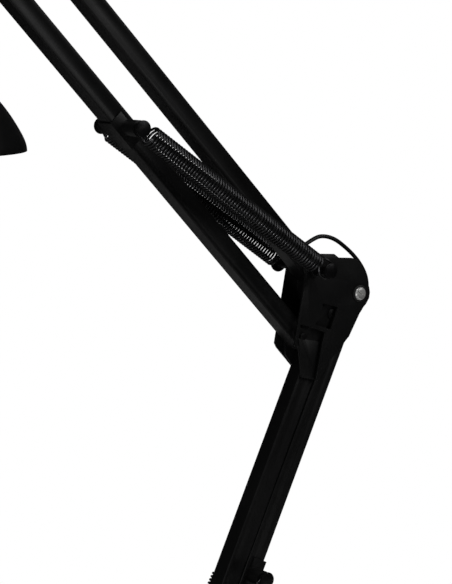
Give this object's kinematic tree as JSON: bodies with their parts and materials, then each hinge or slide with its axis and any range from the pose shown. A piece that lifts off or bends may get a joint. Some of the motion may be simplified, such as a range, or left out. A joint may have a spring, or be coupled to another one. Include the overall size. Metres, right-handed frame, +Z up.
{
  "type": "architect desk lamp",
  "caption": "Spring-balanced architect desk lamp: square-tube parallelogram arms with a folded elbow bracket, a bell shade and a round weighted base.",
  "frame": {"origin": "centre of the base pad's underside, on the desk", "axes": "+Z up; the lower arm leans towards +X, the upper arm and the shade reach back towards -X; Y is across the arms"},
  "size_m": [0.4545, 0.19, 0.7392],
  "materials": {
    "black_paint": "satin powder coat",
    "black_shade": "satin black outside",
    "black_plastic": "matte",
    "spring_steel": "black oiled wire",
    "zinc": "bright zinc plate",
    "black_bolt": "black oxide",
    "washer": "matte nylon",
    "cable_jacket": "matte",
    "pad": "matte",
    "iron": "rough cast",
    "post_steel": "turned",
    "heat_metal": "bare",
    "board": "matte",
    "lens": "opal"
  },
  "bodies": {
    "base": {"base_cover": "black_paint", "base_weight": "iron", "base_pad": "pad", "base_socket": "black_paint", "power_inlet": "black_plastic"},
    "turntable": {"swivel_post": "post_steel", "base_bracket": "black_paint", "base_washers": "washer", "lower_spring_stud": "black_bolt", "base_stud_nuts": "black_bolt", "base_pivot_bolt": "black_bolt", "base_cable": "cable_jacket"},
    "rear_bar": {"rear_bar": "black_paint", "rear_bar_plugs": "black_plastic", "rear_bar_sleeves": "black_plastic", "lower_saddle": "black_paint", "lower_anchor_pin": "black_bolt", "rear_bar_cable": "cable_jacket"},
    "front_bar": {"front_bar": "black_paint", "front_bar_plugs": "black_plastic"},
    "elbow": {"elbow_bracket": "black_paint", "near_guide": "black_paint", "far_guide": "black_paint", "elbow_washers": "washer", "elbow_screw": "zinc", "elbow_rivets": "black_bolt", "upper_spring_stud": "black_bolt", "elbow_nuts": "black_bolt", "elbow_cable": "cable_jacket"},
    "bottom_bar": {"bottom_bar": "black_paint", "bottom_bar_plugs": "black_plastic", "upper_saddle": "black_paint", "upper_anchor_pin": "black_bolt"},
    "top_bar": {"top_bar": "black_paint", "top_bar_plugs": "black_plastic", "top_bar_sleeves": "black_plastic", "top_bar_cable": "cable_jacket"},
    "head_mount": {"head_bracket": "black_paint", "head_shelf": "black_paint", "head_washers": "washer", "head_pivot_bolts": "black_bolt", "head_cable": "cable_jacket"},
    "upper_springs": {"upper_near_spring": "spring_steel", "upper_far_spring": "spring_steel"},
    "upper_hooks": {"upper_spring_hooks": "spring_steel"},
    "lower_springs": {"lower_near_spring": "spring_steel", "lower_far_spring": "spring_steel"},
    "lower_hooks": {"lower_spring_hooks": "spring_steel"},
    "head_stem": {"head_spindle": "black_paint", "spindle_nut_set": "black_bolt", "tilt_tongue": "black_paint"},
    "lamp_head": {"shade": "black_shade", "shade_fork": "black_paint", "heat_sink": "heat_metal", "led_board": "board", "retaining_ring": "black_shade", "diffuser": "lens", "switch_housing": "black_plastic"},
    "knob": {"tilt_knob": "black_plastic"},
    "switch": {"switch_rocker": "black_plastic"}
  },
  "joints": [
    {"name": "base_swivel", "type": "hinge", "parent": "base", "child": "turntable", "pos_m": [0, 0, 0.035], "axis": [0, 0, 1], "range_deg": [-175, 175]},
    {"name": "lower_fold", "type": "hinge", "parent": "turntable", "child": "rear_bar", "pos_m": [0.0101, 0, 0.084], "axis": [0, 1, 0], "range_deg": [-45, 1.5], "deforming": ["base_cable"]},
    {"name": "front_bar_swing", "type": "hinge", "parent": "turntable", "child": "front_bar", "pos_m": [-0.0128, 0, 0.0706], "axis": [0, 1, 0], "range_deg": [-46, 2]},
    {"name": "elbow_level", "type": "hinge", "parent": "rear_bar", "child": "elbow", "pos_m": [0.17489, 0, 0.42641], "axis": [0, 1, 0], "range_deg": [-2, 46], "deforming": ["elbow_cable"]},
    {"name": "upper_fold", "type": "hinge", "parent": "elbow", "child": "top_bar", "pos_m": [0.13329, 0, 0.44731], "axis": [0, 1, 0], "range_deg": [-35, 18], "deforming": ["elbow_cable"]},
    {"name": "bottom_bar_swing", "type": "hinge", "parent": "elbow", "child": "bottom_bar", "pos_m": [0.12569, 0, 0.39901], "axis": [0, 1, 0], "range_deg": [-36, 19]},
    {"name": "head_level", "type": "hinge", "parent": "top_bar", "child": "head_mount", "pos_m": [-0.12972, 0, 0.72158], "axis": [0, 1, 0], "range_deg": [-19, 36], "deforming": ["head_cable"]},
    {"name": "upper_spring_turn", "type": "hinge", "parent": "elbow", "child": "upper_springs", "pos_m": [0.13329, 0, 0.44731], "axis": [0, 1, 0], "range_deg": [-45, 25], "deforming": ["upper_near_spring", "upper_far_spring", "upper_spring_hooks"]},
    {"name": "upper_spring_stretch", "type": "slide", "parent": "upper_springs", "child": "upper_hooks", "axis": [-0.8281, 0, 0.5605], "range_m": [-0.02, 0.035], "deforming": ["upper_near_spring", "upper_far_spring", "upper_spring_hooks"]},
    {"name": "lower_spring_turn", "type": "hinge", "parent": "turntable", "child": "lower_springs", "pos_m": [-0.0128, 0, 0.0706], "axis": [0, 1, 0], "range_deg": [-46, 3], "deforming": ["lower_near_spring", "lower_far_spring", "lower_spring_hooks"]},
    {"name": "lower_spring_stretch", "type": "slide", "parent": "lower_springs", "child": "lower_hooks", "axis": [0.5035, 0, 0.864], "range_m": [-0.025, 0.005], "deforming": ["lower_near_spring", "lower_far_spring", "lower_spring_hooks"]},
    {"name": "head_turn", "type": "hinge", "parent": "head_mount", "child": "head_stem", "pos_m": [-0.18332, 0, 0.67728], "axis": [0, 0, 1], "range_deg": [-90, 90]},
    {"name": "head_tilt", "type": "hinge", "parent": "head_stem", "child": "lamp_head", "pos_m": [-0.18332, 0, 0.64728], "axis": [0, 1, 0], "range_deg": [-20, 50]},
    {"name": "knob_turn", "type": "hinge", "parent": "lamp_head", "child": "knob", "pos_m": [-0.18332, 0.01, 0.64728], "axis": [0, 1, 0], "range_deg": [-180, 180]},
    {"name": "switch_rock", "type": "hinge", "parent": "lamp_head", "child": "switch", "pos_m": [-0.21252, 0, 0.61828], "axis": [0, 1, 0], "range_deg": [-8, 8]}
  ],
  "couplings": [
    {"joint": "front_bar_swing", "follows": "lower_fold", "ratio": 1},
    {"joint": "elbow_level", "follows": "lower_fold", "ratio": -1},
    {"joint": "bottom_bar_swing", "follows": "upper_fold", "ratio": 1},
    {"joint": "head_level", "follows": "upper_fold", "ratio": -1},
    {"joint": "upper_spring_turn", "follows": "upper_fold", "ratio": 1.0734},
    {"joint": "upper_spring_stretch", "follows": "upper_fold", "m_per_rad": -0.045},
    {"joint": "lower_spring_turn", "follows": "lower_fold", "ratio": 0.90136},
    {"joint": "lower_spring_stretch", "follows": "lower_fold", "m_per_rad": 0.018714}
  ]
}
